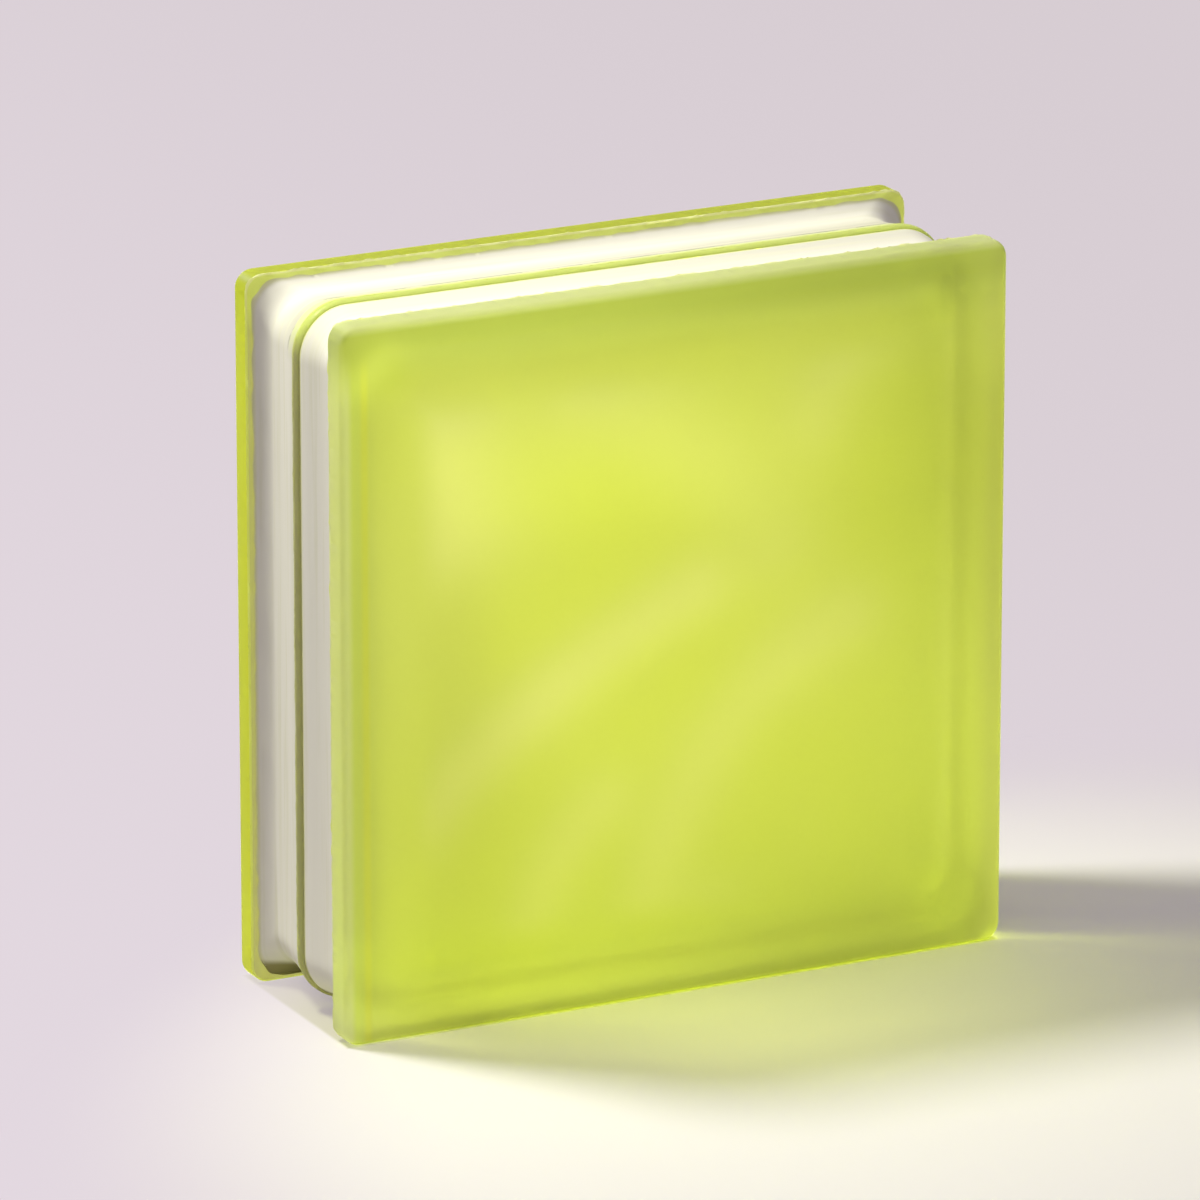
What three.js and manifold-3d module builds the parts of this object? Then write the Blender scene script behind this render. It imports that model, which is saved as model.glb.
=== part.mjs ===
// Hollow glass block for walls: two pressed glass half shells, joined rim to rim.
// Millimetres, +Z up. The block stands on its lower lips, centred on X and Y.
// Its patterned faces look along -Y and +Y, and the joint lies in the plane y = 0.

import * as THREE from 'three';
import { mergeVertices } from 'three/addons/utils/BufferGeometryUtils.js';
import Module from 'manifold-3d';

// Block
const SIDE = 240; // width and height, over the lips
const DEPTH = 80; // from face to face

// Lip round each face
const LIP_WIDTH = 9.5; // along the depth
const FACE_CORNER = 4; // outline radius of the flat face at its four corners
const LIP_ROUND = 2; // rounding from the lip into the face
const LIP_CHAMFER = 0.6; // along the edge over the mortar groove

// Mortar groove round the four sides; drops are measured down from the lip
const SHOULDER_DROP = 2.4; // clear glass step under the lip
const SHOULDER_RUN = 1; // how far that step leans out along the depth
const VALLEY_DROP = 5.9; // the groove's deepest line
const VALLEY_RUN = 7; // from the step's foot to that line
const VALLEY_CORNER = 14; // outline radius of that line; the lines up to the bead turn wider
const STEP_CORNER = 10; // outline radius of the step's foot

// Bead where the two halves are fused
const BEAD_WIDTH = 5; // across both halves
const BEAD_FOOT_DROP = 3.6;
const BEAD_TOP_DROP = 2.4;

// Glass
const RIM_GLASS = 8; // wall at the joint
const FACE_GLASS = 8.8; // face under the troughs of the waves
const WALL_DRAFT = 1.6; // how much each inner wall closes in by the time it meets the face
const POCKET_FILLET = 10; // from inner wall to inner face
const FLOOR_CORNER = 4; // outline radius of the inner face inside its fillet

// Waves pressed into the inside of each face: soft folds, each along an arc. x and z are the
// arc's centre from the middle of the face, from and to are its ends in degrees, spread is the
// fold's half width and rise its share of the full height.
const FOLDS = [
  { x: 120, z: -265, radius: 304, from: 112, to: 134, spread: 8, rise: 1 },
  { x: 106, z: -111, radius: 119, from: 112, to: 168, spread: 9, rise: 0.7 },
  { x: 106, z: -111, radius: 96, from: 172, to: 186, spread: 12, rise: 0.6 },
  { x: 12, z: -104, radius: 66, from: 128, to: 184, spread: 8, rise: 0.7 },
  { x: -95, z: -52, radius: 154, from: 32, to: 66, spread: 13, rise: 0.6 },
  { x: 134, z: 33, radius: 92, from: 128, to: 156, spread: 9, rise: 0.6 },
  { x: 200, z: 60, radius: 286, from: 176, to: 183, spread: 17, rise: 0.9 },
];
const WAVE_HEIGHT = 2.6; // highest crest over the troughs
const FOLD_END = 16; // length over which a fold dies out past its ends
const WAVE_BORDER = 14; // width over which the waves die out towards the walls
const WAVE_SINK = 0.4; // how far the troughs lie inside the face glass
const WAVE_ROOT = 4; // depth to which the wavy layer is carried into the face glass

// Facets
const CORNER_STEPS = 7;
const ROUND_STEPS = 3;
const GROOVE_STEPS = 4;
const BEAD_STEPS = 3;
const FILLET_STEPS = 4;
const WAVE_STEPS = 36;

const COLOURS = { glass: 0xc3d13c };

// A rounded square across the depth, at place y, given by its half width and corner radius.
const section = (y, half, corner) => ({ y, half, corner });

// In the groove the corners open out from the step's foot to the valley, and on to the bead.
function groovePoint(y, drop) {
  const towardsValley = THREE.MathUtils.smoothstep(y, STEP_FOOT_Y, VALLEY_Y);
  const slope = THREE.MathUtils.lerp(STEP_CORNER, VALLEY_CORNER, towardsValley);
  const corner = y < VALLEY_Y ? slope : VALLEY_CORNER + VALLEY_DROP - drop;
  return section(y, SIDE / 2 - drop, corner);
}

const LIP_CORNER = FACE_CORNER + LIP_ROUND;
const POCKET_CORNER = FLOOR_CORNER + POCKET_FILLET;

const FACE_Y = -DEPTH / 2;
const LIP_END_Y = FACE_Y + LIP_WIDTH;
const STEP_FOOT_Y = LIP_END_Y + SHOULDER_RUN;
const VALLEY_Y = STEP_FOOT_Y + VALLEY_RUN;
const BEAD_FOOT_Y = -BEAD_WIDTH / 2;
const FLOOR_Y = FACE_Y + FACE_GLASS;
const POCKET_HALF = SIDE / 2 - BEAD_FOOT_DROP - RIM_GLASS;
const FLOOR_HALF = POCKET_HALF - WALL_DRAFT;

// Rounding from the face out to the lip's full size.
function lipSections() {
  const rounding = [];
  for (let i = 0; i <= ROUND_STEPS; i++) {
    const angle = (i / ROUND_STEPS) * (Math.PI / 2);
    const inset = LIP_ROUND * (1 - Math.sin(angle));
    const y = FACE_Y + LIP_ROUND * (1 - Math.cos(angle));
    rounding.push(section(y, SIDE / 2 - inset, LIP_CORNER - inset));
  }
  return [
    ...rounding,
    section(LIP_END_Y - LIP_CHAMFER, SIDE / 2, LIP_CORNER),
    section(LIP_END_Y, SIDE / 2 - LIP_CHAMFER, LIP_CORNER - LIP_CHAMFER),
  ];
}

// From the step under the lip, down into the groove's valley and up to the bead.
function grooveSections() {
  const valleyReach = (BEAD_FOOT_Y - VALLEY_Y) / 2;
  const intoValley = new THREE.CubicBezierCurve(
    new THREE.Vector2(STEP_FOOT_Y, SHOULDER_DROP),
    new THREE.Vector2(STEP_FOOT_Y + VALLEY_RUN / 3, VALLEY_DROP - SHOULDER_DROP / 3),
    new THREE.Vector2(VALLEY_Y - VALLEY_RUN / 3, VALLEY_DROP),
    new THREE.Vector2(VALLEY_Y, VALLEY_DROP),
  );
  const outOfValley = new THREE.CubicBezierCurve(
    new THREE.Vector2(VALLEY_Y, VALLEY_DROP),
    new THREE.Vector2(VALLEY_Y + valleyReach, VALLEY_DROP),
    new THREE.Vector2(BEAD_FOOT_Y - valleyReach / 2, BEAD_FOOT_DROP),
    new THREE.Vector2(BEAD_FOOT_Y, BEAD_FOOT_DROP),
  );
  const slope = intoValley.getPoints(GROOVE_STEPS);
  const rise = outOfValley.getPoints(GROOVE_STEPS).slice(1);
  return [...slope, ...rise].map((point) => groovePoint(point.x, point.y));
}

// The half of the fused bead that stands on this half shell, a quarter ellipse.
function beadSections() {
  const sections = [];
  for (let i = 1; i <= BEAD_STEPS; i++) {
    const angle = (i / BEAD_STEPS) * (Math.PI / 2);
    const y = BEAD_FOOT_Y * Math.cos(angle);
    const rise = (BEAD_FOOT_DROP - BEAD_TOP_DROP) * Math.sin(angle);
    sections.push(groovePoint(i < BEAD_STEPS ? y : 0, BEAD_FOOT_DROP - rise));
  }
  return sections;
}

// The inside: from the joint down the drafted wall and round the fillet to the inner face.
function pocketSections() {
  const filletTop = FLOOR_Y + POCKET_FILLET;
  const sections = [section(0, POCKET_HALF, POCKET_CORNER)];
  for (let i = 0; i <= FILLET_STEPS; i++) {
    const angle = (i / FILLET_STEPS) * (Math.PI / 2);
    const inset = POCKET_FILLET * (1 - Math.cos(angle));
    const y = filletTop - POCKET_FILLET * Math.sin(angle);
    sections.push(section(y, FLOOR_HALF - inset, POCKET_CORNER - inset));
  }
  return sections;
}

// The outline's points run from +X towards +Z, so that they turn left seen from the -Y side.
function outline({ y, half, corner }) {
  const points = [];
  for (let quarter = 0; quarter < 4; quarter++) {
    const start = quarter * (Math.PI / 2);
    const cornerX = (quarter === 0 || quarter === 3 ? 1 : -1) * (half - corner);
    const cornerZ = (quarter < 2 ? 1 : -1) * (half - corner);
    for (let i = 0; i <= CORNER_STEPS; i++) {
      const angle = start + (i / CORNER_STEPS) * (Math.PI / 2);
      const x = cornerX + corner * Math.cos(angle);
      const z = cornerZ + corner * Math.sin(angle);
      points.push([x, y, z]);
    }
  }
  return points;
}

// A closed body through a run of sections, with a flat cap on the first and the last.
function loft(sections) {
  const rings = sections.map(outline);
  const count = rings[0].length;
  const positions = rings.flat(2);
  const firstCentre = rings.length * count;
  const lastCentre = firstCentre + 1;
  positions.push(0, sections[0].y, 0);
  positions.push(0, sections.at(-1).y, 0);

  const faces = [];
  for (let j = 0; j < count; j++) {
    const next = (j + 1) % count;
    const last = (rings.length - 1) * count;
    faces.push(firstCentre, j, next);
    faces.push(lastCentre, last + next, last + j);
    for (let ring = 0; ring < rings.length - 1; ring++) {
      const here = ring * count;
      const beyond = here + count;
      faces.push(here + j, beyond + j, here + next);
      faces.push(here + next, beyond + j, beyond + next);
    }
  }
  const geometry = new THREE.BufferGeometry();
  geometry.setAttribute('position', new THREE.Float32BufferAttribute(positions, 3));
  geometry.setIndex(faces);
  return geometry;
}

// How much of the full height one fold has at a place on the inner face.
function foldShare(fold, x, z) {
  const across = (Math.hypot(x - fold.x, z - fold.z) - fold.radius) / fold.spread;
  const angle = (THREE.MathUtils.radToDeg(Math.atan2(z - fold.z, x - fold.x)) + 360) % 360;
  const past = Math.max(fold.from - angle, angle - fold.to, 0);
  const beyond = (THREE.MathUtils.degToRad(past) * fold.radius) / FOLD_END;
  return fold.rise * Math.exp(-across * across - beyond * beyond);
}

// Height of the waves over their troughs, at a place on the inner face. Where folds cross they
// run into each other, and never stand higher than WAVE_HEIGHT.
function waveHeight(x, z) {
  const trough = FOLDS.reduce((rest, fold) => rest * (1 - foldShare(fold, x, z)), 1);
  const toEdge = FLOOR_HALF - POCKET_FILLET - Math.max(Math.abs(x), Math.abs(z));
  const fade = THREE.MathUtils.smoothstep(toEdge, 0, WAVE_BORDER);
  return WAVE_HEIGHT * (1 - trough) * fade;
}

// The wavy layer on the inner face, rooted in the face glass.
function waves() {
  const size = 2 * (FLOOR_HALF - POCKET_FILLET);
  const geometry = new THREE.BoxGeometry(size, WAVE_ROOT, size, WAVE_STEPS, 1, WAVE_STEPS);
  const position = geometry.attributes.position;
  for (let i = 0; i < position.count; i++) {
    const height = waveHeight(position.getX(i), position.getZ(i)) - WAVE_SINK;
    const isInner = position.getY(i) > 0;
    position.setY(i, FLOOR_Y + (isInner ? height : -WAVE_ROOT));
  }
  return geometry;
}

const wasm = await Module();
wasm.setup();

function solid(geometry) {
  const bare = geometry.clone();
  bare.deleteAttribute('normal');
  bare.deleteAttribute('uv');
  const merged = mergeVertices(bare, 1e-4);
  return new wasm.Manifold(
    new wasm.Mesh({
      numProp: 3,
      vertProperties: new Float32Array(merged.attributes.position.array),
      triVerts: new Uint32Array(merged.index.array),
    }),
  );
}

function geometryOf(body) {
  const { vertProperties, triVerts } = body.getMesh();
  const geometry = new THREE.BufferGeometry();
  geometry.setAttribute('position', new THREE.BufferAttribute(vertProperties, 3));
  geometry.setIndex(new THREE.BufferAttribute(triVerts, 1));
  geometry.computeVertexNormals();
  return geometry;
}

function halfShell() {
  const tray = loft([...lipSections(), ...grooveSections(), ...beadSections(), ...pocketSections()]);
  return geometryOf(solid(tray).add(solid(waves())));
}

const glass = new THREE.MeshStandardMaterial({
  color: COLOURS.glass,
  roughness: 0.45,
  metalness: 0,
  transparent: true,
  opacity: 0.8,
});

// Both halves come from one mould. The back one is turned round, so its waves cross the front's.
const half = halfShell();

const frontHalf = new THREE.Mesh(half, glass.clone());
frontHalf.name = 'front_half';

const backHalf = new THREE.Mesh(half, glass.clone());
backHalf.name = 'back_half';
backHalf.rotation.z = Math.PI;

const block = new THREE.Group();
block.position.z = SIDE / 2;
block.add(frontHalf, backHalf);

export default block;
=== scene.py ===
"""A hollow glass building block of satin lime-green glass, standing on its lips.

Metres, +Z up, with the origin under the middle of the block. Its patterned faces look along -Y
and +Y, and its two pressed halves meet at y = 0.
"""

import math
from collections import namedtuple

import bmesh
import bpy
from mathutils import Matrix, Vector, noise


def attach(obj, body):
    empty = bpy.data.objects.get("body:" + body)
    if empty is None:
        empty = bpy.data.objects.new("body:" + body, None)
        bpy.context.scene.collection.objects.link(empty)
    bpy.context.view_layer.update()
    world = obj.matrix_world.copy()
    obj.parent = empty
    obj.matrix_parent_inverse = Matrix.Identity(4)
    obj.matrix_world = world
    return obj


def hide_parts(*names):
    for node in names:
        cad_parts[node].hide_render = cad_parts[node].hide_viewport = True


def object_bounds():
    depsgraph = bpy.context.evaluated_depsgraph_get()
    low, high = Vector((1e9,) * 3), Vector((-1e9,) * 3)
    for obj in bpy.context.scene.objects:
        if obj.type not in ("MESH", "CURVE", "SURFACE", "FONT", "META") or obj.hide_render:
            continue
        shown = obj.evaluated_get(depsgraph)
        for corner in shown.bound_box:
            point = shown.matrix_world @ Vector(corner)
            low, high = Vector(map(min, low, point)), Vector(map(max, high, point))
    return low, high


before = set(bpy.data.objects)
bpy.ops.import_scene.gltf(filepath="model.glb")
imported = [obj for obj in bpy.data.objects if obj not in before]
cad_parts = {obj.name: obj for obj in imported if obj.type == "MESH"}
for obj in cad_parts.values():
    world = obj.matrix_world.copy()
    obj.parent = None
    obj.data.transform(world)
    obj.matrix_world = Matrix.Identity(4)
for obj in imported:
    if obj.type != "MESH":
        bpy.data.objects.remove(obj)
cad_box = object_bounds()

MM = 0.001

# Block, from the frame
LOW, HIGH = cad_box
SIDE = HIGH.x - LOW.x
MIDDLE = (LOW + HIGH) / 2

# Lip round each face
LIP_WIDTH = 9.5 * MM
LIP_CORNER = 6 * MM  # outline radius at the block's four corners
LIP_ROUND = 2 * MM  # rounding from the lip into the face
LIP_CHAMFER = 0.6 * MM  # along the edge over the mortar groove
FLASH_WIDTH = 0.6 * MM  # ragged fin that the mould leaves on that edge
FLASH_RISE = 0.7 * MM
FLASH_TEETH = 2.3 * MM  # pitch of its teeth
FLASH_TUFTS = 11 * MM  # pitch of the places where they stand higher
FLASH_TOP = 5 * MM  # down to here it is whole
FLASH_WORN = 0.4  # share of its height that is left on the sides and below
FLASH_WANDER = 0.6 * MM  # how far the fin strays along the depth
FLASH_KINKS = 2.5 * MM  # pitch of its short strays
FLASH_BENDS = 25 * MM  # and of its long ones
TEETH_WEIGHT = 1.6  # teeth over tufts
KINKS_WEIGHT = 1.5  # kinks over bends
FACE_MARGIN = 1 * MM  # flat strip between the rounding and the rest of the face

# Mortar groove; drops are measured down from the lip
SHOULDER_DROP = 2.4 * MM
SHOULDER_RUN = 1 * MM
VALLEY_DROP = 5.9 * MM
VALLEY_RUN = 7 * MM
VALLEY_CORNER = 14 * MM
STEP_CORNER = 10 * MM

# Bead where the halves are fused
BEAD_WIDTH = 5 * MM
BEAD_FOOT_DROP = 3.6 * MM
BEAD_TOP_DROP = 2.4 * MM
BEAD_UNREST = 0.18 * MM
BEAD_SWELLS = 14 * MM  # pitch of its long swells
BEAD_GRAINS = 2.5 * MM  # and of its short ones
GRAINS_WEIGHT = 0.8
JOINT_GAP = 0.04 * MM  # keeps the two joint faces out of one plane

# Inside of a half shell
RIM_GLASS = 8 * MM
FACE_GLASS = 9.1 * MM
WALL_DRAFT = 1.6 * MM
POCKET_FILLET = 10 * MM
FLOOR_CORNER = 4 * MM

# Waves pressed into the inside of each face: soft folds along arcs, in millimetres and degrees.
# x and z are an arc's centre from the middle of the face, first and last its ends.
Fold = namedtuple("Fold", "x z radius first last spread rise")
FOLDS = (
    Fold(120, -265, 304, 112, 134, 8, 1.0),
    Fold(106, -111, 119, 112, 168, 9, 0.7),
    Fold(106, -111, 96, 172, 186, 12, 0.6),
    Fold(12, -104, 66, 128, 184, 8, 0.7),
    Fold(-95, -52, 154, 32, 66, 13, 0.6),
    Fold(134, 33, 92, 128, 156, 9, 0.6),
    Fold(200, 60, 286, 176, 183, 17, 0.9),
)
WAVE_HEIGHT = 2.2 * MM
FACE_BLUR = 1.5  # how much wider the folds look through the etched face
FOLD_END = 16 * MM  # length over which a fold dies out past its ends
WAVE_BORDER = 14 * MM

# White coat in the groove
COAT_THICKNESS = 0.12 * MM
COAT_KEY = 0.03 * MM  # how far its underside sits inside the glass, so that no air gap shows
COAT_RAGGED = 0.35 * MM  # how far its edges stray
FRAY_AT_BEAD = 6 * MM  # pitch of the strays
FRAY_AT_STEP = 4 * MM
GAPS_Y = 9.2 * MM  # of the worn gaps in the coat on top, painted dark as shade
GAPS_SWAY = 3 * MM
COAT_CLIMB = 0.25  # share of the clear step's wall that the coat covers

# Fineness
CORNER_STEPS = 14
SIDE_CUTS = 79  # along each side of a face; the outlines have one more between each two
ROUND_STEPS = 6
GROOVE_STEPS = 8
BEAD_STEPS = 6
FILLET_STEPS = 8
SMOOTH_ANGLE = math.radians(35)
HAIR = 0.02 * MM  # keeps two outlines out of one plane, where they couldn't be bridged
SAME_PLACE = 0.001 * MM  # points that are closer than this are one

HALF_SIDE = SIDE / 2
FACE_Y = LOW.y
LIP_END_Y = FACE_Y + LIP_WIDTH
STEP_FOOT_Y = LIP_END_Y + SHOULDER_RUN
VALLEY_Y = STEP_FOOT_Y + VALLEY_RUN
BEAD_FOOT_Y = MIDDLE.y - BEAD_WIDTH / 2
FLOOR_Y = FACE_Y + FACE_GLASS
POCKET_HALF = HALF_SIDE - BEAD_FOOT_DROP - RIM_GLASS
FLOOR_HALF = POCKET_HALF - WALL_DRAFT
POCKET_CORNER = FLOOR_CORNER + POCKET_FILLET


# ---------------------------------------------------------------- sections across the depth


def smooth_step(share):
    share = min(max(share, 0), 1)
    return share * share * (3 - 2 * share)


def lip_section(y, drop):
    """(y, half width, corner radius) of the outline at this drop under the lip."""
    return y, HALF_SIDE - drop, LIP_CORNER - drop


def groove_section(y, drop):
    """The same in the groove, where the corners open out from the step's foot to the bead."""
    if y >= VALLEY_Y:
        return y, HALF_SIDE - drop, VALLEY_CORNER + VALLEY_DROP - drop
    towards_valley = smooth_step((y - STEP_FOOT_Y) / VALLEY_RUN)
    return y, HALF_SIDE - drop, STEP_CORNER + (VALLEY_CORNER - STEP_CORNER) * towards_valley


def step_section(share, lift):
    """The same this far up the wall of the clear step, lifted off the glass."""
    y = STEP_FOOT_Y - SHOULDER_RUN * share + lift
    drop = SHOULDER_DROP + (LIP_CHAMFER - SHOULDER_DROP) * share
    corner = STEP_CORNER + (LIP_CORNER - LIP_CHAMFER - STEP_CORNER) * share
    return y, HALF_SIDE - drop + lift / 2, corner


def bezier(points, steps):
    """Points along a cubic curve through (y, drop) control points."""
    a, b, c, d = (Vector(point) for point in points)
    curve = []
    for i in range(steps + 1):
        t = i / steps
        s = 1 - t
        curve.append(a * s**3 + 3 * b * s * s * t + 3 * c * s * t * t + d * t**3)
    return curve


def pocket_sections():
    """From the inner face, round the fillet and up the drafted wall to the joint."""
    sections = []
    for i in range(FILLET_STEPS + 1):
        angle = (1 - i / FILLET_STEPS) * math.pi / 2
        inset = POCKET_FILLET * (1 - math.cos(angle))
        y = FLOOR_Y + POCKET_FILLET * (1 - math.sin(angle))
        sections.append((y, FLOOR_HALF - inset, POCKET_CORNER - inset))
    sections.append((MIDDLE.y - JOINT_GAP / 2 - HAIR, POCKET_HALF, POCKET_CORNER))
    return sections


def bead_sections():
    """From the joint down the half bead, a quarter ellipse, towards its foot."""
    sections = []
    for i in range(BEAD_STEPS):
        angle = (1 - i / BEAD_STEPS) * math.pi / 2
        y = min(BEAD_FOOT_Y * math.cos(angle), MIDDLE.y - JOINT_GAP / 2)
        rise = (BEAD_FOOT_DROP - BEAD_TOP_DROP) * math.sin(angle)
        sections.append(groove_section(y, BEAD_FOOT_DROP - rise))
    return sections


def groove_curve():
    """(y, drop) from the bead's foot, through the valley, up to the foot of the clear step."""
    reach = (BEAD_FOOT_Y - VALLEY_Y) / 2
    rise = bezier(
        (
            (BEAD_FOOT_Y, BEAD_FOOT_DROP),
            (BEAD_FOOT_Y - reach / 2, BEAD_FOOT_DROP),
            (VALLEY_Y + reach, VALLEY_DROP),
            (VALLEY_Y, VALLEY_DROP),
        ),
        GROOVE_STEPS,
    )
    slope = bezier(
        (
            (VALLEY_Y, VALLEY_DROP),
            (VALLEY_Y - VALLEY_RUN / 3, VALLEY_DROP),
            (STEP_FOOT_Y + VALLEY_RUN / 3, VALLEY_DROP - SHOULDER_DROP / 3),
            (STEP_FOOT_Y, SHOULDER_DROP),
        ),
        GROOVE_STEPS,
    )
    return rise + slope[1:]


def flash_sections():
    """The lip's inner edge: the root of the mould flash, its crest, and its root on the lip."""
    return [
        lip_section(LIP_END_Y, LIP_CHAMFER),
        lip_section(LIP_END_Y - FLASH_WIDTH / 2, LIP_CHAMFER / 2),
        lip_section(LIP_END_Y - FLASH_WIDTH, 0),
    ]


def round_sections():
    """From the lip, over the rounding, to the flat face and its margin."""
    sections = []
    for i in range(ROUND_STEPS + 1):
        angle = (1 - i / ROUND_STEPS) * math.pi / 2
        drop = LIP_ROUND * (1 - math.sin(angle))
        y = FACE_Y + max(LIP_ROUND * (1 - math.cos(angle)), HAIR)
        sections.append(lip_section(y, drop))
    sections.append(lip_section(FACE_Y, LIP_ROUND + FACE_MARGIN))
    return sections


# ---------------------------------------------------------------- modelling


def start_piece(name):
    """An empty piece, open in edit mode."""
    bpy.ops.object.select_all(action="DESELECT")
    piece = bpy.data.objects.new(name, bpy.data.meshes.new(name))
    bpy.context.scene.collection.objects.link(piece)
    bpy.context.view_layer.objects.active = piece
    piece.select_set(True)
    bpy.ops.object.mode_set(mode="EDIT")
    bmesh.from_edit_mesh(piece.data).verts.layers.int.new("ring")
    return piece


def add_ring(piece, number, y, half, corner):
    """One outline across the block's depth, a square with round corners, as a loop of edges."""
    bpy.ops.mesh.select_all(action="DESELECT")
    bpy.ops.mesh.primitive_plane_add(
        size=2 * half, location=(MIDDLE.x, y, MIDDLE.z), rotation=(math.pi / 2, 0, 0)
    )
    bpy.ops.mesh.bevel(offset=corner, segments=CORNER_STEPS, affect="VERTICES")
    bpy.ops.mesh.delete(type="ONLY_FACE")
    bpy.ops.mesh.select_all(action="DESELECT")
    mesh = bmesh.from_edit_mesh(piece.data)
    for edge in mesh.edges:
        if edge.is_wire and edge.calc_length() > half:
            edge.select_set(True)
    bpy.ops.mesh.subdivide(number_cuts=SIDE_CUTS)
    bpy.ops.mesh.subdivide(number_cuts=1)
    mesh = bmesh.from_edit_mesh(piece.data)
    ring = mesh.verts.layers.int["ring"]
    for vert in mesh.verts:
        if vert[ring] == 0:
            vert[ring] = number


def select_rings(piece, *numbers):
    """Selects the open edges that run along these rings."""
    bpy.ops.mesh.select_all(action="DESELECT")
    mesh = bmesh.from_edit_mesh(piece.data)
    ring = mesh.verts.layers.int["ring"]
    for edge in mesh.edges:
        is_open = edge.is_wire or edge.is_boundary
        if is_open and edge.verts[0][ring] == edge.verts[1][ring] in numbers:
            edge.select_set(True)


def bridge(piece, first, second):
    select_rings(piece, first, second)
    bpy.ops.mesh.bridge_edge_loops()


def fill_ring(piece, number):
    select_rings(piece, number)
    bpy.ops.mesh.edge_face_add()


def move_points(piece, numbers, step):
    """Moves each point of these rings by step(point)."""
    mesh = bmesh.from_edit_mesh(piece.data)
    ring = mesh.verts.layers.int["ring"]
    for vert in mesh.verts:
        if vert[ring] in numbers:
            vert.co += step(vert.co)


def cut_face(piece, half, corner):
    """Cuts a flat face into squares, along lines between points of its outline."""
    first_cut = corner - half
    pitch = -2 * first_cut / (SIDE_CUTS + 1)
    places = [first_cut + i * pitch for i in range(SIDE_CUTS + 2)]
    for across in (Vector((1, 0, 0)), Vector((0, 0, 1))):
        for place in places:
            bpy.ops.mesh.select_all(action="SELECT")
            bpy.ops.mesh.bisect(plane_co=MIDDLE + across * place, plane_no=across)


def fold_share(fold, x, z, blur):
    """How much of the full height one fold has at a place, in millimetres, on the face."""
    across = (math.hypot(x - fold.x, z - fold.z) - fold.radius) / (fold.spread * blur)
    angle = math.degrees(math.atan2(z - fold.z, x - fold.x)) % 360
    past = max(fold.first - angle, angle - fold.last, 0)
    beyond = math.radians(past) * fold.radius * MM / FOLD_END
    return fold.rise * math.exp(-across * across - beyond * beyond)


def wave_share(x, z, blur=1):
    """Height of the waves over their troughs, from 0 to 1, at a place from the face's middle."""
    trough = 1
    for fold in FOLDS:
        trough *= 1 - fold_share(fold, x / MM, z / MM, blur)
    to_edge = FLOOR_HALF - POCKET_FILLET - max(abs(x), abs(z))
    return (1 - trough) * smooth_step(to_edge / WAVE_BORDER)


def press_waves(piece):
    mesh = bmesh.from_edit_mesh(piece.data)
    for vert in mesh.verts:
        rise = WAVE_HEIGHT * wave_share(vert.co.x - MIDDLE.x, vert.co.z - MIDDLE.z)
        vert.co.y = FLOOR_Y + rise


def outward(point):
    """The way out of the block from a point on its sides, square to the depth."""
    x, z = point.x - MIDDLE.x, point.z - MIDDLE.z
    core = HALF_SIDE - VALLEY_CORNER - VALLEY_DROP
    way = Vector((x - min(max(x, -core), core), 0, z - min(max(z, -core), core)))
    return way.normalized()


def ragged(point, pitch, seed):
    """A smooth random number from -1 to 1 that changes along the block's sides."""
    return noise.noise(point / pitch + Vector((seed, seed, seed)))


def add_outer_face(piece, number, section):
    """The flat outer face inside its outline, cut into squares that can carry the wave pattern."""
    bpy.ops.mesh.select_all(action="SELECT")
    bpy.ops.mesh.hide()
    add_ring(piece, number, *section)
    fill_ring(piece, number)
    cut_face(piece, section[1], section[2])
    mesh = bmesh.from_edit_mesh(piece.data)
    ring = mesh.verts.layers.int["ring"]
    for vert in mesh.verts:
        if vert[ring] == 0:
            vert[ring] = number
    bpy.ops.mesh.reveal()


def keep_wave_pattern(piece):
    """Stores the height of the waves, as the face blurs them, behind each point of it, for the
    painted caustic light in the glass tint.
    """
    pattern = piece.data.attributes.new("wave", "FLOAT", "POINT")
    for vert in piece.data.vertices:
        if vert.co.y < FACE_Y + HAIR / 2:
            share = wave_share(vert.co.x - MIDDLE.x, vert.co.z - MIDDLE.z, FACE_BLUR)
            pattern.data[vert.index].value = share


def close_piece(piece):
    """Merges doubles, turns the faces outward, smooths them and leaves edit mode."""
    bpy.ops.mesh.select_all(action="SELECT")
    bpy.ops.mesh.remove_doubles(threshold=SAME_PLACE)
    bpy.ops.mesh.normals_make_consistent(inside=False)
    bpy.ops.object.mode_set(mode="OBJECT")
    piece.data.attributes.remove(piece.data.attributes["ring"])
    bpy.ops.object.shade_smooth_by_angle(angle=SMOOTH_ANGLE)
    return piece


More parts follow.
